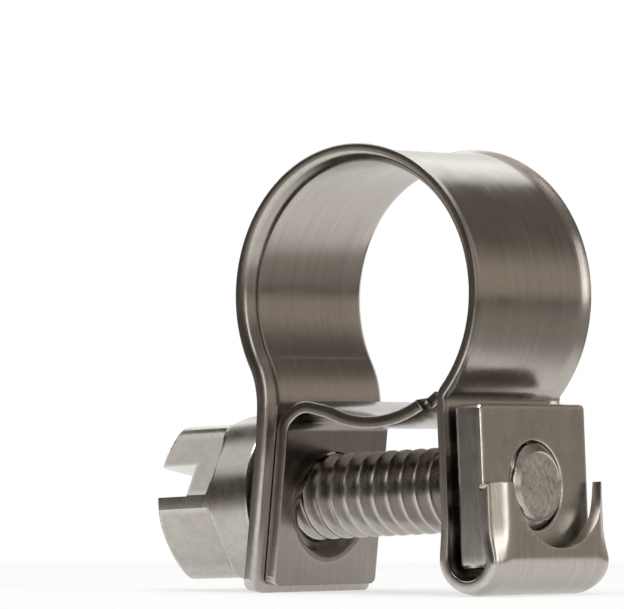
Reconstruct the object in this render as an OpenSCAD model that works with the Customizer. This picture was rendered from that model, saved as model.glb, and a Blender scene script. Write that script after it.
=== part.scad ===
// Small nut and bolt hose clamp: a bent band, a bridge, a screw and a plate nut.
// Lengths in mm, angles in degrees.
// The hose axis runs along Y, the screw from its head at -X to its tip at +X, Z is up.

/* [Band] */
// Radius of the hose seat, measured on the inner face of the loop
loop_radius = 6; // [5.6:0.05:6.6]
// Width of the strip over both lips
band_width = 8.8; // [7.5:0.1:10]
// Thickness of the strip
band_thickness = 0.58; // [0.45:0.01:0.7]
// Height the inner face climbs in the flared lips
lip_rise = 0.42; // [0.2:0.01:0.5]
// Thickness of the lips at their cut edges, where they are pressed thinner
lip_edge = 0.41; // [0.3:0.01:0.5]
// Width of one flared lip
lip_width = 0.85; // [0.4:0.05:1.2]
// Angle below level where the loop ends on the nut side
right_end_angle = 41; // [35:0.5:46]
// Angle below level where the loop ends on the head side
left_end_angle = 28.5; // [24:0.5:33]
// Bend radius of the neck on the nut side, on the inner face
right_neck_radius = 1.25; // [1.1:0.05:2]
// Bend radius of the neck on the head side, on the inner face
left_neck_radius = 4; // [3:0.1:5]
// Outward lean of the ear under the screw head
left_lean = 6; // [3:0.25:8]
// Outer radius of the fold that holds the nut
fold_radius = 1.76; // [1.7:0.01:2]
// Height of the outer leaf of the fold over the feet
leaf_rise = 5.1; // [4:0.1:6]
// Radius of the round notch in the outer leaf
notch_radius = 3.55; // [3:0.05:3.7]
// Height of the middle of the notch over the screw axis
notch_lift = 0.75; // [0.4:0.05:1.2]
// Radius of the screw hole in the ear that holds the nut
ear_hole_radius = 2.3; // [2.15:0.05:2.6]
// Radius of the hole in the ear under the head, which takes the dish of the leg
dish_hole_radius = 3.05; // [3:0.05:3.4]
// Corner radius at the foot of the ear under the head
foot_corner = 0.6; // [0.3:0.05:1]
// Length over which the lips die away on both sides of the fold
lip_fade = 1.4; // [0.8:0.05:2]

/* [Bridge] */
// Width of the leg and the tongue
bridge_width = 7.5; // [7:0.1:8.2]
// Thickness of the bridge strip
bridge_thickness = 0.5; // [0.3:0.05:0.7]
// Outer radius of the bend between leg and tongue
bridge_bend = 1.25; // [1:0.05:1.5]
// Gap between the leg and the ear
bridge_gap = 0.02; // [0.01:0.01:0.1]
// How far the tongue reaches into the hose seat
tongue_inset = 0.05; // [0:0.01:0.08]
// Angle below level where the full width of the tongue ends
tongue_end_angle = 57.5; // [54:0.5:70]
// Angle below level where the tail ends
tail_end_angle = 50.5; // [50.5:0.5:53]
// Width of the tail
tail_width = 6.3; // [5:0.1:6.9]
// Radius of the screw hole in the leg
leg_hole_radius = 2.15; // [2.1:0.05:2.4]
// Radius of the dish pressed round the hole in the leg
dish_radius = 2.9; // [2.7:0.05:2.95]
// Depth of the dish, towards the ear
dish_depth = 0.4; // [0.2:0.05:0.5]
// Corner radius at the foot of the leg
leg_corner = 0.4; // [0.2:0.05:0.8]
// Gap between the foot of the leg and the feet of the band
leg_lift = 0.3; // [0.1:0.05:0.8]

/* [Screw] */
// Tilt of the screw, its tip up, square to the nut
screw_tilt = 2.75; // [1.5:0.25:4]
// Gap between the tongue of the bridge and the screw under it
screw_room = 0.47; // [0.4:0.01:1]
// Diameter of the plain core that stands for the thread
shank_diameter = 3.9; // [3.6:0.05:4]
// Gap between the rim of the flange and the ear, at their nearest
head_gap = 0.05; // [0.02:0.01:0.3]
// Length of the tip that stands out of the nut
tip_proud = 0.3; // [0.1:0.05:1]
// Bevel at the tip
tip_bevel = 0.3; // [0.1:0.05:0.5]
// Width of the hexagon across its flats
hex_flats = 7; // [6.5:0.1:7.2]
// Height of the head over the flange face
head_height = 5.8; // [4.5:0.05:6.5]
// Diameter of the flange
flange_diameter = 8.2; // [7.8:0.1:8.4]
// Thickness of the rim of the flange
flange_rim = 0.35; // [0.2:0.05:0.6]
// Height of the flange cone with its rim
flange_height = 1.7; // [1:0.05:2.2]
// Height of the bevel round the end of the head
head_bevel = 0.7; // [0.3:0.05:1]
// Diameter of the flat end of the head
head_end_diameter = 5.9; // [5:0.1:6.6]
// Width of the screwdriver slot
slot_width = 1.45; // [1:0.05:1.6]
// Depth of the screwdriver slot
slot_depth = 1.9; // [1.2:0.05:2.4]
// Turn of the slot round the screw
slot_turn = 14; // [0:1:45]

/* [Nut] */
// Width of the nut along the hose axis
nut_width = 7.95; // [7:0.05:8.4]
// Height of the nut
nut_height = 7.3; // [6:0.05:7.4]
// Thickness of the nut
nut_thickness = 1.4; // [1.1:0.05:1.7]
// Bore of the nut
nut_bore = 4; // [3.95:0.01:4.2]
// Bevel of the mouths of the bore
bore_bevel = 0.15; // [0.1:0.05:0.45]
// Gap between the nut and the lips of the ear
nut_gap = 0.26; // [0.05:0.01:0.3]
// Gap between the nut and the bottom of the fold
nut_rest = 0.35; // [0.2:0.05:0.8]

/* [Part] */
// Sub-part to draw

/* [Hidden] */
$fn = 96;
overrun = 1;
// Neighbouring bends and straights lap a little, set off across the strip by a step too small to see
lap = 0.1;
lap_step = 0.03;
half_width = band_width / 2;
half_turn = 180;
full_turn = 360;
lip_steps = 4;
section_height = lip_rise + lip_edge;

// Directions and points are [X, Z] pairs in the plane across the hose axis
function aim(a) = [cos(a), sin(a)];
function spot(p) = [p[0], 0, p[1]];

// Heights: the screw lies under the tongue, and the feet reach below the nut
tongue_radius = loop_radius - tongue_inset;
screw_drop = tongue_radius + bridge_thickness + screw_room + shank_diameter / 2;
foot_drop = screw_drop + nut_height / 2 + nut_rest + band_thickness;
screw_base = [0, -screw_drop];

// Right ear: outer normal, downward heading, neck centre and first point
right_out = aim(screw_tilt);
right_down = [sin(screw_tilt), -cos(screw_tilt)];
right_centre = (loop_radius + right_neck_radius) * aim(-right_end_angle);
right_start = right_centre - right_neck_radius * right_out;
right_run = right_start[1] + fold_radius * sin(screw_tilt) + foot_drop - fold_radius;
right_length = right_run / cos(screw_tilt);
fold_centre = right_start + right_length * right_down + fold_radius * right_out;
leaf_start = fold_centre + fold_radius * right_out;
leaf_length = (leaf_rise - foot_drop - leaf_start[1]) / cos(screw_tilt);

// Left ear: the same, and cut level at the feet
left_out = aim(half_turn - left_lean);
left_down = [-sin(left_lean), -cos(left_lean)];
left_centre = (loop_radius + left_neck_radius) * aim(half_turn + left_end_angle);
left_start = left_centre - left_neck_radius * left_out;
left_length = (left_start[1] + foot_drop) / cos(left_lean);

// Bridge: the bend touches the leg and the tongue
bend_base = left_start - (bridge_gap + bridge_bend) * left_out;
bend_along = bend_base * -left_down;
bend_reach = tongue_radius + bridge_bend;
bend_root = sqrt(pow(bend_along, 2) - bend_base * bend_base + pow(bend_reach, 2));
bend_centre = bend_base + (bend_along + bend_root) * left_down;
bend_angle = atan2(-bend_centre[1], -bend_centre[0]);
leg_length = (bend_centre[1] + foot_drop - leg_lift) / cos(left_lean);
leg_face = left_start - bridge_gap * left_out;
// where the screw axis meets the face of the leg that lies on the ear
dish_along = ((leg_face - screw_base) * left_out) / (right_out * left_out);
dish_centre = screw_base + dish_along * right_out;

// Screw and nut, in places along the screw; the ear under the head leans to the flange by seat_lean
shank_radius = shank_diameter / 2;
hex_corner = hex_flats / 2 / cos(half_turn / 6);
seat_lean = left_lean + screw_tilt;
ear_along = ((left_start - screw_base) * left_out) / (right_out * left_out);
seat_reach = band_thickness / cos(seat_lean) + flange_diameter / 2 * tan(seat_lean);
flange_face = ear_along - seat_reach - head_gap;
head_end = flange_face - head_height;
nut_along = (right_start - screw_base) * right_out + section_height + nut_gap;
tip_end = nut_along + nut_thickness + tip_proud;

// Lip outline: share of its rise and place across the strip, at the steps from its edge inwards
lip_shares = [for (i = [0 : lip_steps]) pow(1 - i / lip_steps, 2)];
lip_places = [for (i = [0 : lip_steps]) half_width - lip_width * i / lip_steps];

// Corners of one side of the strip, from its edge inwards, climbing from base
function lip_side(base, rise, inset) =
    [for (i = [0 : lip_steps]) [base + rise * lip_shares[i], lip_places[i] - inset]];
function turned(points) = [for (i = [len(points) - 1 : -1 : 0]) points[i]];
function mirrored(points) = [for (p = points) [p[0], -p[1]]];

// Strip across its length, inner face at x = 0
module lipped(inset = 0) {
    inner = lip_side(0, lip_rise, inset);
    outer = lip_side(band_thickness, section_height - band_thickness, inset);
    polygon(concat(inner, turned(mirrored(inner)), mirrored(outer), turned(outer)));
}

// Flat strip across its length, inner face at x = 0
module flat(width, thickness) {
    translate([0, -width / 2]) square([thickness, width]);
}

// Sweep a strip section round an axis along Y from angle a to angle b, lapping into its neighbours
module sweep(centre, radius, a, b) {
    lap_angle = lap / radius * half_turn / PI;
    translate(spot(centre)) rotate([90, 0, 0]) rotate([0, 0, a - lap_angle])
        rotate_extrude(angle = b - a + 2 * lap_angle) children();
}

// Stand children on the screw axis, z running from head to tip
module on_screw() {
    translate(spot(screw_base)) rotate([0, 90 - screw_tilt, 0]) children();
}

// Hole along the screw between two positions on it
module screw_hole(radius, from, to) {
    on_screw() translate([0, 0, from]) cylinder(r = radius, h = to - from);
}

// Corner rounding of a strip end, seen flat: width across, length along
module end_shape(width, length, corner) {
    translate([-width / 2, corner]) square([width, length - corner]);
    translate([corner - width / 2, 0]) square([width - 2 * corner, length]);
    translate([corner - width / 2, corner]) circle(r = corner);
    translate([width / 2 - corner, corner]) circle(r = corner);
}

// Upright block that trims a leaning strip to a rounded foot
module foot_trim(width, drop, corner) {
    translate([-foot_drop, 0, -drop]) rotate([90, 0, 90])
        linear_extrude(foot_drop) end_shape(width, foot_drop, corner);
}

// Leaf that stands on the fold, inner face at x = 0, with lips that die away towards the fold
module fading_leaf(length) {
    core = band_thickness - lap_step;
    difference() {
        translate([0, 0, -lap]) linear_extrude(length + lap) lipped();
        rotate([90, 0, 0]) linear_extrude(2 * band_width, center = true)
            polygon([[band_thickness, -overrun], [band_thickness, 0], [section_height, lip_fade],
                [2 * section_height, lip_fade], [2 * section_height, -overrun]]);
    }
    rotate([90, 0, 0]) linear_extrude(band_width - 2 * lap_step, center = true)
        polygon([[lap_step, -lap / 2], [core, -lap / 2], [core, lip_fade], [lip_rise, lip_fade]]);
}

module right_leaf() {
    translate(spot(right_start + right_length * right_down)) rotate([0, -screw_tilt, 0])
        fading_leaf(right_length + lap);
}

module outer_leaf() {
    difference() {
        translate(spot(leaf_start)) rotate([0, -screw_tilt, 0]) mirror([1, 0, 0])
            fading_leaf(leaf_length);
        on_screw() translate([-notch_lift, 0, tip_end - overrun]) cylinder(r = notch_radius, h = foot_drop);
    }
}

module left_ear() {
    intersection() {
        translate(spot(left_start)) rotate([0, left_lean, 0])
            translate([0, 0, -left_length - overrun])
                linear_extrude(left_length + overrun + lap) mirror([1, 0]) lipped();
        foot_trim(band_width, foot_drop, foot_corner);
    }
}

module band() {
    color("silver") difference() {
        union() {
            sweep([0, 0], loop_radius, -right_end_angle, half_turn + left_end_angle)
                translate([loop_radius, 0]) lipped();
            sweep(right_centre, right_neck_radius, half_turn - right_end_angle, half_turn + screw_tilt)
                translate([right_neck_radius - lap_step, 0]) mirror([1, 0]) lipped(lap_step);
            right_leaf();
            sweep(fold_centre, fold_radius, half_turn + screw_tilt, full_turn + screw_tilt)
                translate([fold_radius - band_thickness - lap_step, 0])
                    flat(band_width - 2 * lap_step, band_thickness);
            outer_leaf();
            sweep(left_centre, left_neck_radius, -left_lean, left_end_angle)
                translate([left_neck_radius - lap_step, 0]) mirror([1, 0]) lipped(lap_step);
            left_ear();
        }
        screw_hole(ear_hole_radius, 0, tip_end - overrun);
        screw_hole(dish_hole_radius, flange_face - overrun, 0);
    }
}

module leg() {
    intersection() {
        translate(spot(bend_centre)) rotate([0, left_lean, 0])
            translate([-bridge_bend, 0, -leg_length - overrun])
                linear_extrude(leg_length + overrun + lap) flat(bridge_width, bridge_thickness);
        foot_trim(bridge_width, foot_drop - leg_lift, leg_corner);
    }
}

// Dish round the hole of the leg, its rim lapping into the leg
module dish() {
    translate(spot(dish_centre)) rotate([0, left_lean - 90, 0]) rotate_extrude()
        polygon([[dish_radius + lap, lap_step - bridge_thickness], [dish_radius + lap, -lap_step],
            [leg_hole_radius, dish_depth], [leg_hole_radius, dish_depth - bridge_thickness]]);
}

module bridge() {
    color("gainsboro") {
        union() {
            dish();
            difference() {
                leg();
                translate(spot(dish_centre)) rotate([0, left_lean - 90, 0])
                    cylinder(r = dish_radius, h = foot_drop, center = true);
            }
            sweep(bend_centre, bridge_bend, bend_angle, half_turn - left_lean)
                translate([bridge_bend - bridge_thickness - lap_step, 0])
                    flat(bridge_width - 2 * lap_step, bridge_thickness);
            sweep([0, 0], tongue_radius, half_turn + bend_angle, full_turn - tongue_end_angle)
                translate([tongue_radius, 0]) flat(bridge_width, bridge_thickness);
            sweep([0, 0], tongue_radius, full_turn - tongue_end_angle, full_turn - tail_end_angle)
                translate([tongue_radius + lap_step, 0]) flat(tail_width, bridge_thickness);
        }
    }
}

// Outline of the head from the axis, for turning
module head_turning() {
    polygon([[0, head_end], [head_end_diameter / 2, head_end], [hex_corner, head_end + head_bevel],
        [hex_corner, flange_face], [0, flange_face]]);
}

// Outline of the flange and the shank from the axis, for turning
module shank_turning() {
    polygon([[0, flange_face - flange_height], [hex_flats / 2, flange_face - flange_height],
        [flange_diameter / 2, flange_face - flange_rim], [flange_diameter / 2, flange_face],
        [shank_radius, flange_face], [shank_radius, tip_end - tip_bevel],
        [shank_radius - tip_bevel, tip_end], [0, tip_end]]);
}

module screw() {
    color("darkgray") on_screw() difference() {
        union() {
            intersection() {
                translate([0, 0, head_end]) linear_extrude(head_height)
                    polygon([for (i = [0 : 5]) hex_corner * aim(full_turn / 12 + i * full_turn / 6)]);
                rotate_extrude() head_turning();
            }
            rotate_extrude() shank_turning();
        }
        rotate([0, 0, -slot_turn]) translate([-slot_width / 2, -hex_flats, head_end - overrun])
            cube([slot_width, 2 * hex_flats, slot_depth + overrun]);
    }
}

module nut() {
    color("lightslategray") on_screw() translate([0, 0, nut_along]) difference() {
        translate([-nut_height / 2, -nut_width / 2, 0]) cube([nut_height, nut_width, nut_thickness]);
        translate([0, 0, -overrun]) cylinder(d = nut_bore, h = nut_thickness + 2 * overrun);
        translate([0, 0, nut_thickness - bore_bevel])
            cylinder(r1 = nut_bore / 2, r2 = nut_bore / 2 + bore_bevel, h = bore_bevel);
        cylinder(r1 = nut_bore / 2 + bore_bevel, r2 = nut_bore / 2, h = bore_bevel);
    }
}

band();
bridge();
screw();
nut();
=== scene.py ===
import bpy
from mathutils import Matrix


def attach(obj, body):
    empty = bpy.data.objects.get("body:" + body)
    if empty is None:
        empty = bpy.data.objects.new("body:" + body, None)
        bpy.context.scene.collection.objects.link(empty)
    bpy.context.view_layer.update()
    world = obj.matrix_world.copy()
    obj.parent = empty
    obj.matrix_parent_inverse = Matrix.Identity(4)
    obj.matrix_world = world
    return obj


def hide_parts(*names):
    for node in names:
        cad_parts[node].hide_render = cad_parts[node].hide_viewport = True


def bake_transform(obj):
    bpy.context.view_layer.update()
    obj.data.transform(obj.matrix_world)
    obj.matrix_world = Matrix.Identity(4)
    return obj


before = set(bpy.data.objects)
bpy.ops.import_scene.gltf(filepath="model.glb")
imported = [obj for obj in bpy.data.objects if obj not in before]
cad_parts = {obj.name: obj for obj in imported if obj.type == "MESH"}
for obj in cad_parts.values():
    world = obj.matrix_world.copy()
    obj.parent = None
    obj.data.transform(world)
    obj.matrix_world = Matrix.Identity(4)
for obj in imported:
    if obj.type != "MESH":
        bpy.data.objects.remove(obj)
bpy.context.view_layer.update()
import math
import bpy
import bmesh
from mathutils import Matrix, Vector, noise

mm = 0.001  # the pieces are drawn in millimetres and stored in metres

# camera, where the photograph was taken from
view = {"azimuth": 38.175, "pitch": -1.213, "roll": 0.04, "distance": 300.0,
        "focal": 6615.4, "shiftRight": -4.582, "shiftUp": -0.366, "imageWidth": 624.0}


def makeCamera():
    a, e, r = (math.radians(view[k]) for k in ("azimuth", "pitch", "roll"))
    back = Vector((math.sin(a) * math.cos(e), -math.cos(a) * math.cos(e), math.sin(e)))
    right = Vector((math.cos(a), math.sin(a), 0))
    up = back.cross(right)
    right, up = right * math.cos(r) + up * math.sin(r), up * math.cos(r) - right * math.sin(r)
    place = (back * view["distance"] + right * view["shiftRight"] + up * view["shiftUp"]) * mm
    data = bpy.data.cameras.new("photoCamera")
    data.sensor_fit = "HORIZONTAL"
    data.sensor_width = 36
    data.lens = view["focal"] / view["imageWidth"] * 36
    data.clip_start = 0.01
    data.clip_end = 20
    cam = bpy.data.objects.new("photoCamera", data)
    cam.matrix_world = Matrix((
        (right.x, up.x, back.x, place.x), (right.y, up.y, back.y, place.y),
        (right.z, up.z, back.z, place.z), (0, 0, 0, 1)))
    bpy.context.scene.collection.objects.link(cam)
    bpy.context.scene.camera = cam


makeCamera()
bpy.context.scene.view_settings.view_transform = "Standard"
print("camera placed")


# small helpers
def smooth(t):
    t = min(max(t, 0.0), 1.0)
    return t * t * (3 - 2 * t)


def newObject(name, points, faces, uvs=None):
    mesh = bpy.data.meshes.new(name)
    mesh.from_pydata([(x * mm, y * mm, z * mm) for x, y, z in points], [], faces)
    if uvs:
        layer = mesh.uv_layers.new(name="along")
        for loop in mesh.loops:
            layer.data[loop.index].uv = uvs[loop.vertex_index]
    obj = bpy.data.objects.new(name, mesh)
    bpy.context.scene.collection.objects.link(obj)
    return obj


def applyAll(obj):
    bpy.context.view_layer.update()
    done = bpy.data.meshes.new_from_object(obj.evaluated_get(bpy.context.evaluated_depsgraph_get()))
    old = obj.data
    obj.modifiers.clear()
    obj.data = done
    done.name = obj.name
    bpy.data.meshes.remove(old)


def cut(obj, cutter):
    tool = obj.modifiers.new("cut", "BOOLEAN")
    tool.operation = "DIFFERENCE"
    tool.solver = "EXACT"
    tool.object = cutter
    applyAll(obj)
    bpy.data.objects.remove(cutter)


def turned(profile, place, steps=96):
    # profile is a list of (radius, along); the ends sit on the axis
    points, faces = [], []
    for r, z in profile:
        for i in range(steps):
            t = 2 * math.pi * i / steps
            points.append(place @ Vector((r * math.cos(t), r * math.sin(t), z)))
    for k in range(len(profile) - 1):
        for i in range(steps):
            j = (i + 1) % steps
            faces.append((k * steps + i, k * steps + j, (k + 1) * steps + j, (k + 1) * steps + i))
    faces.append(tuple(range(steps))[::-1])
    faces.append(tuple(range((len(profile) - 1) * steps, len(profile) * steps)))
    return newObject("cutter", points, faces)


def boxCutter(low, high, place):
    points = [place @ Vector((x, y, z)) for x in (low[0], high[0]) for y in (low[1], high[1])
              for z in (low[2], high[2])]
    faces = [(0, 1, 3, 2), (4, 6, 7, 5), (0, 4, 5, 1), (2, 3, 7, 6), (0, 2, 6, 4), (1, 5, 7, 3)]
    return newObject("cutter", points, faces)


def weldMesh(bm, weld, sliver):
    bmesh.ops.remove_doubles(bm, verts=bm.verts, dist=weld * mm)
    bmesh.ops.dissolve_degenerate(bm, dist=sliver * mm, edges=bm.edges)
    bmesh.ops.recalc_face_normals(bm, faces=bm.faces)


def finishMesh(obj, smoothAngle=30, bevel=0.0, bevelAngle=48, wornAngle=34):
    # breaks the sharp edges a little, shades the rest smooth and marks the worn edges
    if bevel:
        b = obj.modifiers.new("edges", "BEVEL")
        b.width = bevel * mm
        b.segments = 2
        b.limit_method = "ANGLE"
        b.angle_limit = math.radians(bevelAngle)
        b.use_clamp_overlap = True
        applyAll(obj)
    bm = bmesh.new()
    bm.from_mesh(obj.data)
    weldMesh(bm, 0.0004, 0.0002)
    layer = bm.verts.layers.float.new("edgeMask")
    for v in bm.verts:
        top = 0.0
        for e in v.link_edges:
            if len(e.link_faces) == 2:
                top = max(top, e.calc_face_angle_signed(0.0))
        v[layer] = min(top / math.radians(wornAngle), 1.0)
    for f in bm.faces:
        f.smooth = True
    bm.to_mesh(obj.data)
    bm.free()
    obj.data.set_sharp_from_angle(angle=math.radians(smoothAngle))


# where the bends and straights lie, as (x, z) pairs in the plane across the hose axis
layout = {"loopRadius": 6.0, "rightEnd": 41.0, "leftEnd": 28.5, "rightNeck": 1.25, "leftNeck": 4.0,
          "screwTilt": 2.75, "leftLean": 6.0, "footDrop": 13.45, "foldRadius": 1.76, "leafRise": 5.1,
          "screwDrop": 8.87, "bridgeBend": 1.25, "bridgeGap": 0.02, "tongueInset": 0.05, "legLift": 0.3,
          "legExtra": 0.05, "nutGap": 0.26, "nutThickness": 1.4}


def aim(degrees):
    return Vector((math.cos(math.radians(degrees)), math.sin(math.radians(degrees))))


def along(degrees):
    # heading down an ear that leans by so many degrees
    return Vector((math.sin(math.radians(degrees)), -math.cos(math.radians(degrees))))


rightOut, rightDown = aim(layout["screwTilt"]), along(layout["screwTilt"])
rightCentre = (layout["loopRadius"] + layout["rightNeck"]) * aim(-layout["rightEnd"])
rightStart = rightCentre - layout["rightNeck"] * rightOut
tiltCos, tiltSin = rightOut
foldR = layout["foldRadius"]
rightLength = (rightStart.y + foldR * tiltSin + layout["footDrop"] - foldR) / tiltCos
foldCentre = rightStart + rightLength * rightDown + foldR * rightOut
leafStart = foldCentre + foldR * rightOut
leafLength = (layout["leafRise"] - layout["footDrop"] - leafStart.y) / tiltCos
leftOut, leftDown = aim(180 - layout["leftLean"]), along(-layout["leftLean"])
leftCentre = (layout["loopRadius"] + layout["leftNeck"]) * aim(180 + layout["leftEnd"])
leftStart = leftCentre - layout["leftNeck"] * leftOut
leftLength = (leftStart.y + layout["footDrop"]) / math.cos(math.radians(layout["leftLean"]))
leftFoot = leftStart + leftLength * leftDown
tongueRadius = layout["loopRadius"] - layout["tongueInset"]
bendBase = leftStart - (layout["bridgeGap"] + layout["bridgeBend"]) * leftOut
bendAlong = -bendBase.dot(leftDown)
bendRoot = math.sqrt(bendAlong ** 2 - bendBase.dot(bendBase) + (tongueRadius + layout["bridgeBend"]) ** 2)
bendCentre = bendBase + (bendAlong + bendRoot) * leftDown
bendAngle = math.degrees(math.atan2(-bendCentre.y, -bendCentre.x))
legLength = (bendCentre.y + layout["footDrop"] - layout["legLift"]) / math.cos(math.radians(layout["leftLean"]))
legLength += layout["legExtra"]
legTop = bendCentre + layout["bridgeBend"] * leftOut
screwBase = Vector((0, -layout["screwDrop"]))
dishCentre = screwBase + ((legTop - screwBase).dot(leftOut) / rightOut.dot(leftOut)) * rightOut

# the screw's own frame: z runs along the screw from head to tip, x down
onScrew = Matrix(((tiltSin, 0, tiltCos, 0), (0, 1, 0, 0),
                  (-tiltCos, 0, tiltSin, -layout["screwDrop"]), (0, 0, 0, 1)))
# the dish's own frame: z runs from the leg towards the ear
onDish = Matrix(((-leftOut.y, 0, leftOut.x, dishCentre.x), (0, -1, 0, 0),
                 (leftOut.x, 0, leftOut.y, dishCentre.y), (0, 0, 0, 1)))


# strips: a path in the x-z plane with the face's outward normal, swept across y
class stripPath:
    def __init__(self):
        self.parts = []
        self.total = 0.0

    def line(self, start, heading, length, normal):
        self.parts.append((self.total, length, "line", start, heading, normal))
        self.total += length

    def arc(self, centre, radius, a, b, side):
        # side is 1 where the normal points away from the centre, -1 towards it
        length = math.radians(abs(b - a)) * radius
        self.parts.append((self.total, length, "arc", centre, (radius, a, b), side))
        self.total += length

    def at(self, s):
        part = self.parts[0]
        for p in self.parts:
            if s >= p[0] - 1e-9:
                part = p
        d = s - part[0]
        if part[2] == "line":
            (x, z), (hx, hz), n = part[3], part[4], part[5]
            return x + hx * d, z + hz * d, n[0], n[1]
        (x, z), (radius, a, b), side = part[3], part[4], part[5]
        t = math.radians(a + (b - a) * d / part[1])
        return (x + radius * math.cos(t), z + radius * math.sin(t),
                side * math.cos(t), side * math.sin(t))

    def starts(self):
        return [p[0] for p in self.parts] + [self.total]


def sweepStrip(name, path, stations, section, ends, lift):
    # section(s) gives the outline of the strip there as a ring of (across, out)
    # ends(u) gives how far the strip's two ends draw back at that place across
    # lift(s, u) moves the strip out along its normal
    points, uvs, faces = [], [], []
    for s in stations:
        outline = section(s)
        ring = len(outline)
        for u, v in outline:
            first, last = ends(u)
            at = first + (s / path.total) * (path.total - first - last)
            x, z, nx, nz = path.at(at)
            out = v + lift(at, u)
            points.append((x + nx * out, u, z + nz * out))
            uvs.append((u, at))
    for k in range(len(stations) - 1):
        for i in range(ring):
            j = (i + 1) % ring
            faces.append((k * ring + i, k * ring + j, (k + 1) * ring + j, (k + 1) * ring + i))
    half = ring // 2
    for base, flip in ((0, True), ((len(stations) - 1) * ring, False)):
        for i in range(half - 1):
            quad = (base + i, base + i + 1, base + ring - 2 - i, base + ring - 1 - i)
            faces.append(quad if flip else quad[::-1])
    return newObject(name, points, faces, uvs)


def spread(path, fine, endStep):
    # stations along the path, closer in the bends and at both ends
    out = [0.0, endStep * 0.35, endStep]
    for part, step in zip(path.parts, fine):
        n = max(2, int(part[1] / step))
        for i in range(n):
            s = part[0] + part[1] * i / n
            if endStep * 1.5 < s < path.total - endStep * 1.5:
                out.append(s)
    return out + [path.total - endStep, path.total - endStep * 0.35, path.total]


# band
band = {"width": 8.8, "thickness": 0.58, "lipRise": 0.42, "lipEdge": 0.41, "lipWidth": 0.85, "lipBend": 0.45,
        "edgeRound": 0.09, "edgeRoll": 0.2, "brokenEdge": 0.06, "footCorner": 0.6, "hornCorner": 0.35,
        "earHole": 2.3, "dishHole": 3.05, "notch": 3.6, "notchLift": 0.75, "notchShift": 0.5,
        "foldLip": 0.5, "foldSaddle": 0.05, "lipFade": 1.7, "fadePast": 0.5, "lipBack": 0.7, "backPast": 0.4,
        "earLip": 0.45, "earPast": 1.0, "earFade": 3.2,
        "leafLipWidth": 1.35, "leafLipRise": 0.54, "leafFade": 1.6,
        "creaseDepth": 0.03, "creaseWidth": 0.14, "creaseUp": 0.22, "creaseFlat": 1.3, "creaseFade": 0.5,
        "creaseStep": 0.053, "steps": (0.42, 0.2, 0.16, 0.1, 0.25, 0.12, 0.2), "endStep": 0.16}

bandPath = stripPath()
bandPath.line(leftFoot, -leftDown, leftLength, leftOut)
bandPath.arc(leftCentre, layout["leftNeck"], -layout["leftLean"], layout["leftEnd"], -1)
bandPath.arc(Vector((0, 0)), layout["loopRadius"], 180 + layout["leftEnd"], -layout["rightEnd"], 1)
bandPath.arc(rightCentre, layout["rightNeck"], 180 - layout["rightEnd"], 180 + layout["screwTilt"], -1)
bandPath.line(rightStart, rightDown, rightLength, rightOut)
bandPath.arc(foldCentre, foldR, 180 + layout["screwTilt"], 360 + layout["screwTilt"], -1)
bandPath.line(leafStart, -rightDown, leafLength, -rightOut)
bandStarts = bandPath.starts()


def lipShare(s):
    # 1 where the lips are full, less in the fold
    foldStart, foldEnd, fade = bandStarts[5], bandStarts[6], band["lipFade"]
    kept = 1 - smooth((s - foldStart + fade) / (fade + band["fadePast"]))
    kept += smooth((s - foldEnd + band["lipBack"]) / (fade + band["backPast"]))
    ear = smooth((bandStarts[1] + band["earPast"] - s) / band["earFade"])   # flatter on the ear under the head
    return (band["foldLip"] + (1 - band["foldLip"]) * kept) * (1 - (1 - band["earLip"]) * ear)


def flare(t):
    # a short bend, then straight out to the cut edge
    bend = band["lipBend"]
    t = max(t, 0.0)
    return (t * t / (2 * bend) if t < bend else t - bend / 2) / (1 - bend / 2)


def turnCorner(start, corner, end):
    # five points on a curve that cuts the corner
    return [tuple((1 - q) ** 2 * i + 2 * q * (1 - q) * j + q * q * k for i, j, k in zip(start, corner, end))
            for q in (0.0, 0.25, 0.5, 0.75, 1.0)]


def bandOutline(s):
    # flat middle, then a flared lip on each side, pressed thinner and rolled over at its cut edge
    k = lipShare(s)
    half, t, r, roll = band["width"] / 2, band["thickness"], band["edgeRound"], band["edgeRoll"]
    saddle = band["foldSaddle"] * (1 - k)
    onLeaf = smooth((s - bandStarts[6] + band["leafFade"] / 2) / band["leafFade"])
    lip = band["lipWidth"] + (band["leafLipWidth"] - band["lipWidth"]) * onLeaf
    rise = band["lipRise"] + (band["leafLipRise"] - band["lipRise"]) * onLeaf
    n, short = 8, 1.25 * roll       # steps on the flat and on the lip, which stop short of the roll
    places = [(half - lip) * i / n for i in range(n)]
    places += [half - lip + (lip - short) * i / n for i in range(n + 1)]

    def heights(u):
        f = flare((u - half + lip) / lip)
        base = saddle * (1 - (u / half) ** 4)
        return base + rise * k * f, base + t + (rise + band["lipEdge"] - t) * k * f
    inner = [(u, heights(u)[0]) for u in places]
    outer = [(u, heights(u)[1]) for u in places]
    a, b = heights(half)
    edge = turnCorner((half - roll, heights(half - roll)[0]), (half, a), (half, a + roll))
    edge += [(half, (a + roll + b - r) / 2)]
    edge += turnCorner((half, b - r), (half, b), (half - r, heights(half - r)[1]))
    right = inner + edge + outer[::-1]       # from the middle inside, round the edge, back outside
    left = [(-p, q) for p, q in right[1:-1]][::-1]
    ring = right + left                       # starts at the middle of the inner face
    start = len(ring) - len(inner) - (len(edge) - 3) // 2
    return ring[start:] + ring[:start]        # starts on the near cut edge


creasePlace = bandStarts[2] + band["creaseUp"]


def bandLift(s, u):
    # a faint crease where the press bent the neck under the head side of the loop
    flat = 1 - smooth((abs(u) - band["width"] / 2 + band["creaseFlat"]) / band["creaseFade"])
    return -flat * band["creaseDepth"] * math.exp(-((s - creasePlace) / band["creaseWidth"]) ** 2)


def cornerBack(u, half, corner):
    # how far a rounded corner draws the strip's end back
    d = min(max(abs(u) - half + corner, 0.0), corner)
    return corner - math.sqrt(max(corner * corner - d * d, 0.0))


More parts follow.
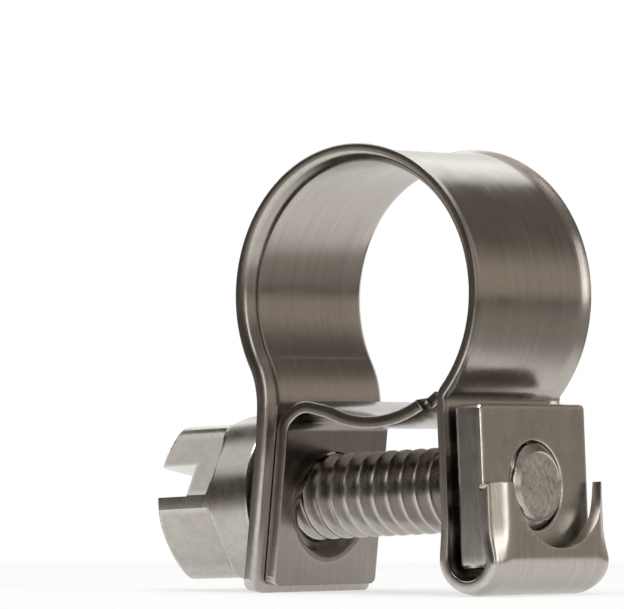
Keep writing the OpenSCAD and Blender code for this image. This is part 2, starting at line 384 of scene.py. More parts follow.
def bandEnds(u):
    return [cornerBack(u, band["width"] / 2, band[key]) for key in ("footCorner", "hornCorner")]


def makeBand():
    stations = spread(bandPath, band["steps"], band["endStep"])
    stations = sorted(stations + [creasePlace + band["creaseStep"] * k for k in range(-7, 8)])
    obj = sweepStrip("clampBand", bandPath, stations, bandOutline, bandEnds, bandLift)
    head, middle, inFold, beyond = -7.6, 0.0, 6.2, 10.5     # how far the cutters reach along the screw
    cut(obj, turned([(band["earHole"], middle), (band["earHole"], inFold)], onScrew))
    cut(obj, turned([(band["dishHole"], head), (band["dishHole"], middle)], onScrew))
    lifted = onScrew @ Matrix.Translation((-band["notchLift"], band["notchShift"], 0))
    cut(obj, turned([(band["notch"], inFold), (band["notch"], beyond)], lifted, 144))
    finishMesh(obj, bevel=band["brokenEdge"])
    return obj


clampBand = makeBand()
print("band", len(clampBand.data.polygons), "faces")

# bridge
bridge = {"width": 7.5, "tailWidth": 6.3, "tailStep": 0.22, "thickness": 0.57, "edgeRound": 0.07,
          "brokenEdge": 0.045, "legCorner": 0.4, "legHole": 2.15, "dishRadius": 2.9, "dishDepth": 0.5,
          "dishEdge": 0.15, "dishTop": 1.0, "dishFade": 2.4, "tongueEnd": 57.5, "tailEnd": 50.5,
          "tongueLift": 0.69, "liftFrom": 0.4, "liftRun": 1.3, "tongueSettle": 0.55,
          "steps": (0.13, 0.1, 0.16, 0.09), "endStep": 0.16}

bridgePath = stripPath()
bridgePath.line(legTop + legLength * leftDown, -leftDown, legLength, leftOut)
bridgePath.arc(bendCentre, layout["bridgeBend"], 180 - layout["leftLean"], bendAngle, 1)
bridgePath.arc(Vector((0, 0)), tongueRadius, 180 + bendAngle, 360 - bridge["tongueEnd"], -1)
bridgePath.arc(Vector((0, 0)), tongueRadius, 360 - bridge["tongueEnd"], 360 - bridge["tailEnd"], -1)
bridgeStarts = bridgePath.starts()
dishPlace = legLength - (dishCentre - legTop).dot(leftDown)   # along the leg from its foot


def bridgeOutline(s):
    t, r = bridge["thickness"], bridge["edgeRound"]
    half = bridge["width"] / 2
    if s > bridgeStarts[3]:
        half -= (bridge["width"] - bridge["tailWidth"]) / 2 * smooth((s - bridgeStarts[3]) / bridge["tailStep"])
    n = 28
    places = [(half - 2.2 * r) * k / n for k in range(n + 1)]
    edge = [(half - r, 0.0), (half - 0.3 * r, -0.08 * r), (half, -r), (half, -t / 2), (half, -t + r),
            (half - 0.3 * r, -t + 0.08 * r), (half - r, -t)]
    right = [(u, 0.0) for u in places] + edge + [(u, -t) for u in places[::-1]]
    left = [(-p, q) for p, q in right[1:-1]][::-1]
    ring = right + left
    start = len(ring) - len(places) - (len(edge) - 3) // 2
    return ring[start:] + ring[:start]


def bridgeEnds(u):
    return cornerBack(u, bridge["width"] / 2, bridge["legCorner"]), 0.0


def bridgeLift(s, u):
    # a dish pressed below the hole in the leg, and a tongue that runs a little higher than the loop
    if s < bridgeStarts[1]:
        away = math.hypot(u, s - dishPlace)
        low = smooth((dishPlace + bridge["dishTop"] - s) / bridge["dishFade"])
        reach = bridge["dishRadius"] - bridge["legHole"] + bridge["dishEdge"]
        return bridge["dishDepth"] * low * (1 - smooth((away - bridge["legHole"] + bridge["dishEdge"]) / reach))
    t = (s - bridgeStarts[2]) / (bridgeStarts[4] - bridgeStarts[2])
    bend = bridgeStarts[2] - bridgeStarts[1]
    share = bridge["liftFrom"]
    rise = smooth((s - bridgeStarts[1] - share * bend) / ((1 - share) * bend + bridge["liftRun"]))
    return bridge["tongueLift"] * rise * (1 - bridge["tongueSettle"] * max(t, 0.0))


def makeBridge():
    stations = spread(bridgePath, bridge["steps"], bridge["endStep"])
    obj = sweepStrip("clampBridge", bridgePath, stations, bridgeOutline, bridgeEnds, bridgeLift)
    reach = 2.0
    cut(obj, turned([(bridge["legHole"], -reach), (bridge["legHole"], reach)], onDish))
    finishMesh(obj, bevel=bridge["brokenEdge"])
    return obj


clampBridge = makeBridge()
print("bridge", len(clampBridge.data.polygons), "faces")

# screw: flanged hex head with a slot, and a rolled thread
screw = {"majorRadius": 1.95, "pitch": 0.8, "threadDepth": 0.45, "crest": 0.12, "flank": 0.7, "tipOut": 0.3,
         "tipBevel": 0.42, "tipScore": 0.04, "tipLump": 0.05, "tipSink": 0.05, "bare": 0.75, "bareSpread": 1.9,
         "hexFlats": 7.0, "cornerRadius": 3.878, "headLength": 5.8, "headBevel": 0.7, "headEndRadius": 2.95,
         "bevelRadius": 4.041, "flangeRadius": 3.98, "flangeRim": 0.2, "seatReach": 4.1, "seatGap": 0.05,
         "collarAt": 2.75, "collarBulge": 0.7, "collarStep": 0.4, "collarSink": 0.05,
         "slotWidth": 1.55, "slotDepth": 2.2, "slotTurn": 10, "slotOffset": -0.36, "cols": 80, "turnRows": 16}

# along the screw: the flange rests on the leaning ear, and the tip stands a little out of the nut
seatLean = math.radians(layout["leftLean"] + layout["screwTilt"])
earPlace = (leftStart - screwBase).dot(leftOut) / rightOut.dot(leftOut)
flangeFace = earPlace - band["thickness"] / math.cos(seatLean) - screw["seatReach"] * math.tan(seatLean)
flangeFace -= screw["seatGap"]
headEnd = flangeFace - screw["headLength"]
nutStart = (rightStart - screwBase).dot(rightOut) + band["lipRise"] + band["lipEdge"] + layout["nutGap"]
tipEnd = nutStart + layout["nutThickness"] + screw["tipOut"]


def threadProfile(f):
    # f runs over one pitch; a narrow crest, straight flanks and a rounded root
    t = min(max((abs(f - 0.5) * 2 - screw["crest"]) / screw["flank"], 0.0), 1.0)
    return screw["threadDepth"] * (0.75 * t + 0.25 * smooth(t))


def headRadius(angle, z):
    # flats pressed into a round head, then a shoulder, and a collar that widens to the flange
    sixth, flat = math.pi / 6, screw["hexFlats"] / 2
    off = (angle + sixth) % (math.pi / 3) - sixth      # from the middle of the nearest flat
    r = min(flat / math.cos(off), screw["cornerRadius"])
    bevel, past = screw["headBevel"], z - headEnd
    if z < headEnd + bevel:
        wide = screw["bevelRadius"] - screw["headEndRadius"]
        r = min(r, screw["headEndRadius"] + wide * (past / bevel) ** 0.6)
    bulge = screw["collarBulge"] * (1 - (abs(off) / sixth) ** 2)
    shoulder = (past - screw["collarAt"] - bulge) / screw["collarStep"]
    length = flangeFace - screw["flangeRim"] - headEnd - screw["collarAt"]
    run = min(max((past - screw["collarAt"]) / length, 0.0), 1.0)
    collar = screw["cornerRadius"] + (screw["flangeRadius"] - screw["cornerRadius"]) * run
    if shoulder > 0:
        low = screw["collarSink"]
        r = max(r, flat - low + (collar - flat + low) * smooth(shoulder))
    return r


def makeScrew():
    cols = screw["cols"]
    points, faces = [], []
    angles = [2 * math.pi * i / cols for i in range(cols)]
    face, end, tip = flangeFace, headEnd, tipEnd

    def ring(radii, heights):
        base = len(points)
        for i, a in enumerate(angles):
            points.append((radii[i] * math.cos(a), radii[i] * math.sin(a), heights[i]))
        return base

    def join(a, b):
        for i in range(cols):
            j = (i + 1) % cols
            faces.append((a + i, a + j, b + j, b + i))
    # head, from the middle of its end to the flange's seat
    rows = [ring([r] * cols, [end] * cols) for r in (0.25, 1.2, 2.2)]
    heights, z = [end], end
    while z < face - 0.001:     # closer rows at the bevel, the shoulder and the flange
        close = z < end + 1.0 or abs(z - end - screw["collarAt"] - 0.5) < 0.7 or z > face - 1.4
        z += 0.05 if close else 0.15
        heights.append(min(z, face))
    low, rimStep = face - 0.09, 0.03
    heights = [h for h in heights if h < low - rimStep] + [low]
    for h in heights:
        rows.append(ring([headRadius(a, h) for a in angles], [h] * cols))
    neck = screw["majorRadius"] - screw["threadDepth"] + 0.05
    wide = screw["flangeRadius"]
    for r, h in ((wide - rimStep, face - rimStep), (wide - 0.1, face), (neck, face)):
        rows.append(ring([r] * cols, [h] * cols))
    for a, b in zip(rows, rows[1:]):
        join(a, b)
    faces.append(tuple(rows[0] + i for i in range(cols))[::-1])
    # thread, rows that climb with the helix and are held at both ends
    per, pitch, rim = screw["turnRows"], screw["pitch"], screw["majorRadius"] - screw["tipBevel"]
    count = int((tip - face) / pitch * per) + 3 * per
    runOut, tipSlope = 1.2, 1.15
    base = len(points)
    for k in range(count + 1):
        r0 = screw["majorRadius"] - threadProfile((k % per) / per)
        for i, a in enumerate(angles):
            raw = face - 1.2 * pitch + pitch * (k / per + i / cols)
            z = min(max(raw, face), tip)
            r = min(r0, neck + max(z - face - 0.05, 0) * runOut, rim + (tip - z) * tipSlope)
            points.append((r * math.cos(a), r * math.sin(a), z))
    for k in range(count):
        for i in range(cols):
            if i < cols - 1:
                quad = [(k, i), (k, i + 1), (k + 1, i + 1), (k + 1, i)]
            elif k + per + 1 <= count:
                quad = [(k, i), (k + per, 0), (k + per + 1, 0), (k + 1, i)]
            else:
                continue
            faces.append(tuple(base + p * cols + q for p, q in quad))
    # the sheared end of the tip, scored one way by the blade
    rows = []
    for f in [1.0] + [1 - 0.05 * k for k in range(1, 19)] + [0.04]:
        heights = []
        for a in angles:
            x, y = rim * f * math.cos(a), rim * f * math.sin(a)
            score = noise.noise((x * 1.1 + y * 0.5, y * 5.5 - x * 2.6, 3.1)) * screw["tipScore"]
            lump = noise.noise((x * 0.9, y * 0.8, 7.7)) * screw["tipLump"]
            heights.append(tip - (0.0 if f == 1.0 else screw["tipSink"] - (score + lump) * (1 - f ** 8)))
        rows.append(ring([rim * f] * cols, [min(h, tip) for h in heights]))
    for a, b in zip(rows, rows[1:]):
        join(a, b)
    faces.append(tuple(rows[-1] + i for i in range(cols)))
    obj = newObject("clampScrew", [onScrew @ Vector(p) for p in points], faces)
    bm = bmesh.new()
    bm.from_mesh(obj.data)
    weldMesh(bm, 0.0006, 0.0004)
    bm.to_mesh(obj.data)
    bm.free()
    slot = Matrix.Rotation(math.radians(-screw["slotTurn"]), 4, "Z")
    w, off, reach = screw["slotWidth"] / 2, screw["slotOffset"], 6
    cut(obj, boxCutter((off - w, -reach, end - 1), (off + w, reach, end + screw["slotDepth"]), onScrew @ slot))
    finishMesh(obj, smoothAngle=23)
    # the sheared tip is bare, bright metal
    toScrew = onScrew.inverted()
    for v, worn in zip(obj.data.vertices, obj.data.attributes["edgeMask"].data):
        place = toScrew @ (v.co / mm)
        if place.z > tip - 0.2 and place.xy.length < rim - 0.02:
            grit = noise.noise((place.x * 4.5, place.y * 7.5, 2.0))
            worn.value = min(max(screw["bare"] + screw["bareSpread"] * grit, 0.0), 1.0)
    return obj


clampScrew = makeScrew()
print("screw", len(clampScrew.data.polygons), "faces")

# nut: a plain plate with a threaded hole
nut = {"width": 7.95, "height": 7.3, "thickness": layout["nutThickness"], "bore": 2.0, "boreBevel": 0.05,
       "edge": 0.13, "edgeBand": 0.12, "corner": 0.25, "threadDepth": 0.05, "cols": 192}


def makeNut():
    cols = nut["cols"]
    points, faces = [], []
    hx, hy, z0, t = nut["height"] / 2, nut["width"] / 2, nutStart, nut["thickness"]

    def plate(inset, z):
        base = len(points)
        ax, ay, c = hx - inset, hy - inset, max(nut["corner"] - inset, 0.02)
        for i in range(cols):
            a = 2 * math.pi * i / cols
            dx, dy = math.cos(a), math.sin(a)
            k = min(ax / max(abs(dx), 1e-9), ay / max(abs(dy), 1e-9))
            x, y = dx * k, dy * k
            ox, oy = abs(x) - (ax - c), abs(y) - (ay - c)
            if ox > 0 and oy > 0:
                d = math.hypot(ox, oy)
                x = math.copysign(ax - c + ox / d * c, x)
                y = math.copysign(ay - c + oy / d * c, y)
            points.append((x, y, z))
        return base

    def hole(r, z):
        base = len(points)
        for i in range(cols):
            a = 2 * math.pi * i / cols
            points.append((r * math.cos(a), r * math.sin(a), z))
        return base
    e, b, r, w = nut["edge"], nut["boreBevel"], nut["bore"], nut["edgeBand"]
    top = z0 + t
    rows = [hole(r, z0 + b), hole(r + 0.7 * b, z0 + 0.3 * b), hole(r + b, z0), hole(r + b + 0.1, z0),
            plate(e + w, z0), plate(e, z0), plate(e * 0.3, z0 + e * 0.3), plate(0, z0 + e),
            plate(0, z0 + e + w), plate(0, top - e - w),
            plate(0, top - e), plate(e * 0.3, top - e * 0.3), plate(e, top), plate(e + w, top),
            hole(r + b + 0.1, top), hole(r + b, top), hole(r + 0.7 * b, top - 0.3 * b), hole(r, top - b)]
    # shallow turns of thread stand for the tapped hole
    span, turns = t - 2 * b, 12
    for k in range(1, turns):
        groove = nut["threadDepth"] * math.sin(2 * math.pi * k / 6) ** 2
        rows.append(hole(r + groove, top - b - span * k / turns))
    for a, c in zip(rows, rows[1:] + rows[:1]):
        for i in range(cols):
            j = (i + 1) % cols
            faces.append((a + i, a + j, c + j, c + i))
    obj = newObject("clampNut", [onScrew @ Vector(p) for p in points], faces)
    finishMesh(obj)
    return obj


clampNut = makeNut()
print("nut", len(clampNut.data.polygons), "faces")


# shared finishes
def nodeGroup(name, inputs, outputs):
    group = bpy.data.node_groups.new(name, "ShaderNodeTree")
    for label, kind, value in inputs:
        sock = group.interface.new_socket(name=label, in_out="INPUT", socket_type="NodeSocket" + kind)
        if value is not None:
            sock.default_value = value
    for label, kind in outputs:
        group.interface.new_socket(name=label, in_out="OUTPUT", socket_type="NodeSocket" + kind)
    start, end = group.nodes.new("NodeGroupInput"), group.nodes.new("NodeGroupOutput")
    return group, start, end


def mathNode(tree, kind, a, b=None, c=None, clamp=False):
    node = tree.nodes.new("ShaderNodeMath")
    node.operation = kind
    node.use_clamp = clamp
    for i, x in enumerate((a, b, c)):
        if x is None:
            continue
        if isinstance(x, (int, float)):
            node.inputs[i].default_value = x
        else:
            tree.links.new(x, node.inputs[i])
    return node.outputs[0]


def mixColour(tree, factor, a, b):
    node = tree.nodes.new("ShaderNodeMix")
    node.data_type = "RGBA"
    for sock, x in ((node.inputs[0], factor), (node.inputs[6], a), (node.inputs[7], b)):
        if isinstance(x, (int, float)):
            sock.default_value = x
        elif isinstance(x, tuple):
            sock.default_value = x + (1.0,) * (4 - len(x))
        else:
            tree.links.new(x, sock)
    return node.outputs[2]


def noiseNode(tree, vector, scale, detail=4.0, rough=0.55):
    node = tree.nodes.new("ShaderNodeTexNoise")
    node.inputs["Detail"].default_value = detail
    node.inputs["Roughness"].default_value = rough
    tree.links.new(vector, node.inputs["Vector"])
    if isinstance(scale, (int, float)):
        node.inputs["Scale"].default_value = scale
    else:
        tree.links.new(scale, node.inputs["Scale"])
    return node.outputs["Fac"]


def buildRollingGrain():
    # fine lines left by rolling and drawing, long one way and short the other
    group, start, end = nodeGroup("rollingGrain", [
        ("Vector", "Vector", None), ("Across", "Float", 12.0), ("Along", "Float", 0.5)],
        [("Tone", "Float"), ("Height", "Float")])
    scale = group.nodes.new("ShaderNodeCombineXYZ")
    group.links.new(start.outputs["Across"], scale.inputs[0])
    group.links.new(start.outputs["Along"], scale.inputs[1])
    group.links.new(start.outputs["Along"], scale.inputs[2])
    stretch = group.nodes.new("ShaderNodeVectorMath")
    stretch.operation = "MULTIPLY"
    group.links.new(start.outputs["Vector"], stretch.inputs[0])
    group.links.new(scale.outputs[0], stretch.inputs[1])
    fine = noiseNode(group, stretch.outputs[0], 1.0, 5.0, 0.62)
    coarse = noiseNode(group, stretch.outputs[0], 0.23, 3.0, 0.5)
    tone = mathNode(group, "ADD", mathNode(group, "MULTIPLY", fine, 0.6),
                    mathNode(group, "MULTIPLY", coarse, 0.4))
    group.links.new(tone, end.inputs["Tone"])
    group.links.new(fine, end.inputs["Height"])
    return group


def buildHandling():
    # patches dulled by handling, and small dark specks
    group, start, end = nodeGroup("handlingMarks", [
        ("Vector", "Vector", None), ("Patch", "Float", 0.6), ("Speck", "Float", 6.0)],
        [("Dull", "Float"), ("Specks", "Float")])
    patch = noiseNode(group, start.outputs["Vector"], start.outputs["Patch"], 5.0, 0.6)
    dull = group.nodes.new("ShaderNodeMapRange")
    dull.inputs["From Min"].default_value = 0.38
    dull.inputs["From Max"].default_value = 0.68
    group.links.new(patch, dull.inputs["Value"])
    dots = group.nodes.new("ShaderNodeTexVoronoi")
    group.links.new(start.outputs["Vector"], dots.inputs["Vector"])
    group.links.new(start.outputs["Speck"], dots.inputs["Scale"])
    near = group.nodes.new("ShaderNodeMapRange")
    near.inputs["From Min"].default_value = 0.16
    near.inputs["From Max"].default_value = 0.04
    group.links.new(dots.outputs["Distance"], near.inputs["Value"])
    some = mathNode(group, "GREATER_THAN", noiseNode(group, start.outputs["Vector"], 2.2, 2.0), 0.57)
    group.links.new(dull.outputs[0], end.inputs["Dull"])
    group.links.new(mathNode(group, "MULTIPLY", near.outputs[0], some), end.inputs["Specks"])
    return group


def buildEdgeWear():
    # edges rubbed bright, broken up so that they don't run even
    group, start, end = nodeGroup("edgeWear", [
        ("Edge", "Float", 0.0), ("Vector", "Vector", None), ("Scale", "Float", 3.0), ("Amount", "Float", 0.8)],
        [("Mask", "Float")])
    breakUp = noiseNode(group, start.outputs["Vector"], start.outputs["Scale"], 4.0, 0.6)
    level = group.nodes.new("ShaderNodeMapRange")
    level.inputs["From Min"].default_value = 0.3
    level.inputs["From Max"].default_value = 0.62
    group.links.new(breakUp, level.inputs["Value"])
    most = mathNode(group, "MULTIPLY", start.outputs["Edge"], start.outputs["Amount"])
    broken = mathNode(group, "ADD", mathNode(group, "MULTIPLY", level.outputs[0], 0.6), 0.4)
    mask = mathNode(group, "MULTIPLY", most, broken, clamp=True)
    group.links.new(mask, end.inputs["Mask"])
    return group


rollingGrain, handlingMarks, edgeWear = buildRollingGrain(), buildHandling(), buildEdgeWear()
print("shared finishes built")

finishes = {
    "bandSteel": {"light": (0.52, 0.485, 0.445), "dark": (0.375, 0.345, 0.31), "edge": (0.74, 0.71, 0.67),
                  "rough": 0.21, "across": 14.0, "along": 0.45, "patch": 0.55,
                  "bump": 0.18, "wear": 3.0, "uv": True},
    # painted shade: the bridge is the same steel as the band, given darker colours so that the leg reads as
    # shaded
    "bridgeSteelPaintedShade": {"light": (0.345, 0.313, 0.282), "dark": (0.245, 0.221, 0.197), "edge": (0.72, 0.69, 0.65),
                    "rough": 0.18, "across": 12.0, "along": 0.5, "patch": 0.7,
                    "bump": 0.18, "wear": 3.0, "uv": True},
    "screwPlating": {"light": (0.55, 0.52, 0.475), "dark": (0.40, 0.37, 0.33), "edge": (0.78, 0.755, 0.72),
                     "rough": 0.25, "across": 2.2, "along": 2.2, "patch": 0.9,
                     "bump": 0.3, "wear": 8.0, "uv": False},
    "nutPlating": {"light": (0.50, 0.468, 0.435), "dark": (0.34, 0.315, 0.29), "edge": (0.76, 0.735, 0.70),
                   "rough": 0.28, "across": 7.0, "along": 1.2, "patch": 0.8,
                   "bump": 0.3, "wear": 3.0, "uv": False},
}

surface = {"toneLow": 0.26, "toneHigh": 0.74, "speckShare": 0.35, "speckColour": (0.16, 0.14, 0.12),
           "speckDepth": 0.5, "grainRough": 0.14, "dullRough": 0.08, "roughDrop": 0.08,
           "wornGloss": 0.08, "grainDepth": 0.012}


def makeFinish(name):
    v = finishes[name]
    mat = bpy.data.materials.new(name)
    mat.use_nodes = True
    tree = mat.node_tree
    shader = tree.nodes["Principled BSDF"]
    coords = tree.nodes.new("ShaderNodeTexCoord")
    toMm = tree.nodes.new("ShaderNodeVectorMath")
    toMm.operation = "MULTIPLY"
    toMm.inputs[1].default_value = (1000, 1000, 1000)
    tree.links.new(coords.outputs["Object"], toMm.inputs[0])
    place = toMm.outputs[0]
    if v["uv"]:
        uv = tree.nodes.new("ShaderNodeUVMap")
        uv.uv_map = "along"
        grainPlace = uv.outputs[0]
    else:
        grainPlace = place
    grain = tree.nodes.new("ShaderNodeGroup")
    grain.node_tree = rollingGrain
    grain.inputs["Across"].default_value = v["across"]
    grain.inputs["Along"].default_value = v["along"]
    tree.links.new(grainPlace, grain.inputs["Vector"])
    marks = tree.nodes.new("ShaderNodeGroup")
    marks.node_tree = handlingMarks
    marks.inputs["Patch"].default_value = v["patch"]
    tree.links.new(place, marks.inputs["Vector"])
    edgeValue = tree.nodes.new("ShaderNodeAttribute")
    edgeValue.attribute_name = "edgeMask"
    wear = tree.nodes.new("ShaderNodeGroup")
    wear.node_tree = edgeWear
    wear.inputs["Scale"].default_value = v["wear"]
    tree.links.new(edgeValue.outputs["Fac"], wear.inputs["Edge"])
    tree.links.new(place, wear.inputs["Vector"])
    spreadTone = tree.nodes.new("ShaderNodeMapRange")
    spreadTone.inputs["From Min"].default_value = surface["toneLow"]
    spreadTone.inputs["From Max"].default_value = surface["toneHigh"]
    tree.links.new(grain.outputs["Tone"], spreadTone.inputs["Value"])
    base = mixColour(tree, spreadTone.outputs[0], v["dark"], v["light"])
    specks = mathNode(tree, "MULTIPLY", marks.outputs["Specks"], surface["speckShare"])
    base = mixColour(tree, specks, base, surface["speckColour"])
    base = mixColour(tree, wear.outputs["Mask"], base, v["edge"])
    tree.links.new(base, shader.inputs["Base Color"])
    rough = mathNode(tree, "ADD", mathNode(tree, "MULTIPLY", grain.outputs["Tone"], surface["grainRough"]),
                     mathNode(tree, "MULTIPLY", marks.outputs["Dull"], surface["dullRough"]))
    rough = mathNode(tree, "ADD", rough, v["rough"] - surface["roughDrop"])
    rubbed = mathNode(tree, "MULTIPLY", wear.outputs["Mask"], surface["wornGloss"])
    rough = mathNode(tree, "SUBTRACT", rough, rubbed, clamp=True)
    tree.links.new(rough, shader.inputs["Roughness"])
    shader.inputs["Metallic"].default_value = 1.0
    bump = tree.nodes.new("ShaderNodeBump")
    bump.inputs["Strength"].default_value = v["bump"]
    bump.inputs["Distance"].default_value = surface["grainDepth"] * mm
    pits = mathNode(tree, "MULTIPLY", marks.outputs["Specks"], surface["speckDepth"])
    height = mathNode(tree, "SUBTRACT", grain.outputs["Height"], pits)
    tree.links.new(height, bump.inputs["Height"])
    tree.links.new(bump.outputs[0], shader.inputs["Normal"])
    return mat


for obj, finish in ((clampBand, "bandSteel"), (clampBridge, "bridgeSteelPaintedShade"),
                    (clampScrew, "screwPlating"), (clampNut, "nutPlating")):
    obj.data.materials.clear()
    obj.data.materials.append(makeFinish(finish))
print("finishes made")

# each piece stands for its solid, whose own mesh is hidden; the screw and the nut move with their bodies, the
# band and the bridge stay in place
for obj, node in ((clampBand, "band"), (clampBridge, "bridge"), (clampScrew, "screw"), (clampNut, "nut")):
    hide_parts(node)
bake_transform(clampBand)
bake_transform(clampBridge)
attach(clampScrew, "screw")
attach(clampNut, "nut")
print("pieces joined to the bodies")

# studio: white sweep behind, soft light above, darker room around
studio = {"floorLevel": -13.46, "floorHalf": 1500.0, "paperNear": 18.0, "paperFar": 32.0,
          "paperShift": (-3.0, -4.0), "paperSqueeze": 0.6, "paperHalf": 21.0, "paperFade": 1.6,
          "paperStart": 25.0, "paperWiden": 0.07, "glowNear": 45.0, "glowFar": 90.0, "paperGlow": 0.7,
          "paper": (0.93, 0.93, 0.93), "table": (0.34, 0.325, 0.30), "wallAway": 480.0, "wallHalf": 235.0,
          "wallTop": 440.0, "wallFade": 310.0, "wallBend": 80.0, "horizon": 0.45, "upper": 0.155, "top": 0.40,
          "warmth": (1.0, 0.89, 0.77), "darkSide": 0.18, "darkWay": (0.24, 0.97), "darkFrom": -0.75,
          "darkTo": 0.55}
lamps = {
    "topSoftbox": {"place": (20, -40, 240), "target": (0, 0, -5), "size": (190, 190), "watts": 0.52},
    "leftSoftbox": {"place": (-155, -95, 165), "target": (0, 0, -8), "size": (190, 190), "watts": 0.10},
    "rightStrip": {"place": (190, 25, 58), "target": (0, 0, -9), "size": (50, 140), "watts": 0.062},
    "frontStrip": {"place": (170, -106, 70), "target": (0, 0, -6), "size": (44, 150), "watts": 0.03},
    "backSoftbox": {"place": (-110, 170, 190), "target": (0, 10, -13), "size": (200, 200), "watts": 0.07},
}


def whiteGlow(tree, strengthNode):
    # white to the camera, to reflections and through glass
    path = tree.nodes.new("ShaderNodeLightPath")
    seen = mathNode(tree, "ADD", path.outputs["Is Camera Ray"], path.outputs["Is Glossy Ray"])
    seen = mathNode(tree, "ADD", seen, path.outputs["Is Transmission Ray"], clamp=True)
    return mathNode(tree, "MULTIPLY", seen, strengthNode)


def lookAhead():
    # level, away from the camera and to its right
    a = math.radians(view["azimuth"])
    return Vector((-math.sin(a), math.cos(a), 0)), Vector((math.cos(a), math.sin(a), 0))


def ease(tree, value, low, high):
    node = tree.nodes.new("ShaderNodeMapRange")
    node.interpolation_type = "SMOOTHSTEP"
    node.inputs["From Min"].default_value = low
    node.inputs["From Max"].default_value = high
    tree.links.new(value, node.inputs["Value"])
    return node.outputs[0]


def measure(tree, vector, kind, against=None):
    node = tree.nodes.new("ShaderNodeVectorMath")
    node.operation = kind
    tree.links.new(vector, node.inputs[0])
    if against is not None:
        node.inputs[1].default_value = against
    return node.outputs["Value"]


def stageMaterial(name, colour):
    mat = bpy.data.materials.new(name)
    mat.use_nodes = True
    tree = mat.node_tree
    shader = tree.nodes["Principled BSDF"]
    shader.inputs["Base Color"].default_value = colour + (1,)
    shader.inputs["Roughness"].default_value = 0.9
    shader.inputs["Specular IOR Level"].default_value = 0.0
    where = tree.nodes.new("ShaderNodeTexCoord").outputs["Object"]
    return mat, tree, shader, where


def addGlow(tree, shader, share):
    glow, mix = tree.nodes.new("ShaderNodeEmission"), tree.nodes.new("ShaderNodeMixShader")
    tree.links.new(whiteGlow(tree, share), mix.inputs[0])
    tree.links.new(shader.outputs[0], mix.inputs[1])
    tree.links.new(glow.outputs[0], mix.inputs[2])
    tree.links.new(mix.outputs[0], tree.nodes["Material Output"].inputs["Surface"])


def makeFloor():
    # white paper under and behind the clamp, on a grey table
    size, level = studio["floorHalf"], studio["floorLevel"]
    corners = [(-size, -size, level), (size, -size, level), (size, size, level), (-size, size, level)]
    obj = newObject("floor", corners, [(0, 1, 2, 3)])
    mat, tree, shader, where = stageMaterial("floorPaper", studio["paper"])
    ahead, right = lookAhead()
    away = measure(tree, where, "LENGTH")
    oval = tree.nodes.new("ShaderNodeCombineXYZ")
    for i, (way, squeeze) in enumerate(((right, 1.0), (ahead, studio["paperSqueeze"]))):
        off = mathNode(tree, "SUBTRACT", measure(tree, where, "DOT_PRODUCT", way), studio["paperShift"][i] * mm)
        tree.links.new(mathNode(tree, "MULTIPLY", off, squeeze), oval.inputs[i])
    fromMiddle = measure(tree, oval.outputs[0], "LENGTH")
    near = ease(tree, fromMiddle, studio["paperNear"] * mm, studio["paperFar"] * mm)
    near = mathNode(tree, "SUBTRACT", 1.0, near)
    behind = measure(tree, where, "DOT_PRODUCT", ahead)
    aside = mathNode(tree, "ABSOLUTE", measure(tree, where, "DOT_PRODUCT", right))
    # the paper widens further back
    aside = mathNode(tree, "MULTIPLY_ADD", behind, -studio["paperWiden"], aside)
    strip = ease(tree, aside, studio["paperHalf"] * mm, studio["paperFade"] * studio["paperHalf"] * mm)
    strip = mathNode(tree, "SUBTRACT", 1.0, strip)
    strip = mathNode(tree, "MULTIPLY", strip, ease(tree, behind, 0.0, studio["paperStart"] * mm))
    paper = mathNode(tree, "MAXIMUM", near, strip)
    tree.links.new(mixColour(tree, paper, studio["table"], studio["paper"]), shader.inputs["Base Color"])
    glow = ease(tree, away, studio["glowNear"] * mm, studio["glowFar"] * mm)
    glow = mathNode(tree, "MAXIMUM", mathNode(tree, "MULTIPLY", glow, strip),
                    mathNode(tree, "MULTIPLY", paper, studio["paperGlow"]))
    addGlow(tree, shader, glow)
    obj.data.materials.append(mat)
    return obj


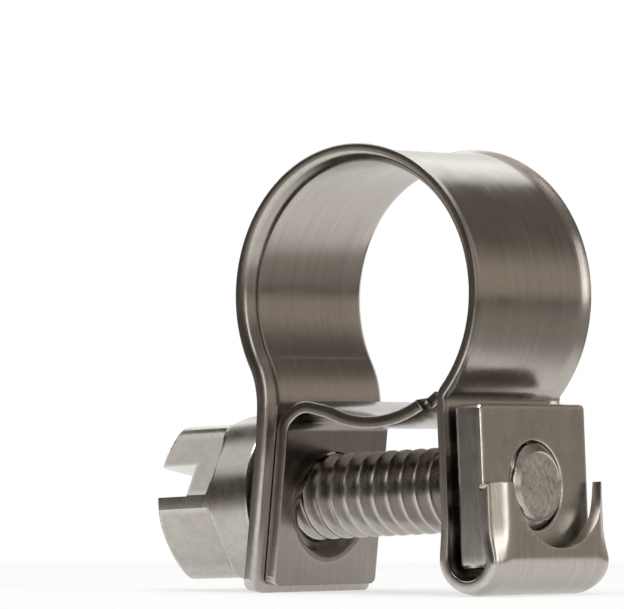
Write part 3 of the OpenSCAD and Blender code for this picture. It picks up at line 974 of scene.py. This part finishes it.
def makeWall():
    # the paper curves up behind
    ahead, right = lookAhead()
    points, steps, bend = [], 12, studio["wallBend"]
    profile = [(studio["wallAway"] - bend + bend * math.sin(t), bend - bend * math.cos(t))
               for t in (math.pi / 2 * k / steps for k in range(steps + 1))]
    profile.append((studio["wallAway"], studio["wallTop"]))
    for d, h in profile:
        for side in (-1, 1):
            p = ahead * d + right * side * studio["wallHalf"]
            points.append((p.x, p.y, studio["floorLevel"] + 0.02 + h))
    faces = [(2 * k, 2 * k + 1, 2 * k + 3, 2 * k + 2) for k in range(len(profile) - 1)]
    obj = newObject("backdrop", points, faces)
    mat, tree, shader, where = stageMaterial("backdropPaper", studio["paper"])
    height = measure(tree, where, "DOT_PRODUCT", (0, 0, 1))
    fade = ease(tree, height, studio["wallFade"] * mm, studio["wallTop"] * mm)
    addGlow(tree, shader, mathNode(tree, "SUBTRACT", 1.0, fade))
    obj.data.materials.append(mat)
    return obj


makeFloor()
makeWall()


def makeLamp(name):
    v = lamps[name]
    data = bpy.data.lights.new(name, "AREA")
    data.shape = "RECTANGLE"
    data.size, data.size_y = v["size"][0] * mm, v["size"][1] * mm
    data.energy = v["watts"]
    lamp = bpy.data.objects.new(name, data)
    lamp.location = Vector(v["place"]) * mm
    lamp.rotation_euler = (Vector(v["target"]) - Vector(v["place"])).to_track_quat("-Z", "Y").to_euler()
    bpy.context.scene.collection.objects.link(lamp)


for name in lamps:
    makeLamp(name)


def makeRoom():
    world = bpy.data.worlds.new("room")
    bpy.context.scene.world = world
    world.use_nodes = True
    tree = world.node_tree
    coords = tree.nodes.new("ShaderNodeTexCoord")
    split = tree.nodes.new("ShaderNodeSeparateXYZ")
    tree.links.new(coords.outputs["Generated"], split.inputs[0])
    ramp = tree.nodes.new("ShaderNodeValToRGB")
    stops = ramp.color_ramp.elements
    levels = ((0.0, "horizon"), (0.22, "horizon"), (0.41, "upper"), (0.68, "upper"), (1.0, "top"))
    while len(stops) < len(levels):
        stops.new(0.5)
    for stop, (place, key) in zip(stops, levels):
        stop.position = place
        stop.color = tuple(studio[key] * w for w in studio["warmth"]) + (1,)
    tree.links.new(split.outputs["Z"], ramp.inputs[0])
    tree.links.new(ramp.outputs[0], tree.nodes["Background"].inputs["Color"])
    ahead, right = lookAhead()
    way, dark = studio["darkWay"], studio["darkSide"]       # the room is darker on the left
    across = measure(tree, coords.outputs["Generated"], "DOT_PRODUCT", tuple(ahead * way[0] + right * way[1]))
    lit = ease(tree, across, studio["darkFrom"], studio["darkTo"])
    level = mathNode(tree, "MULTIPLY_ADD", lit, 1 - dark, dark)
    tree.links.new(level, tree.nodes["Background"].inputs["Strength"])


makeRoom()
print("studio made")
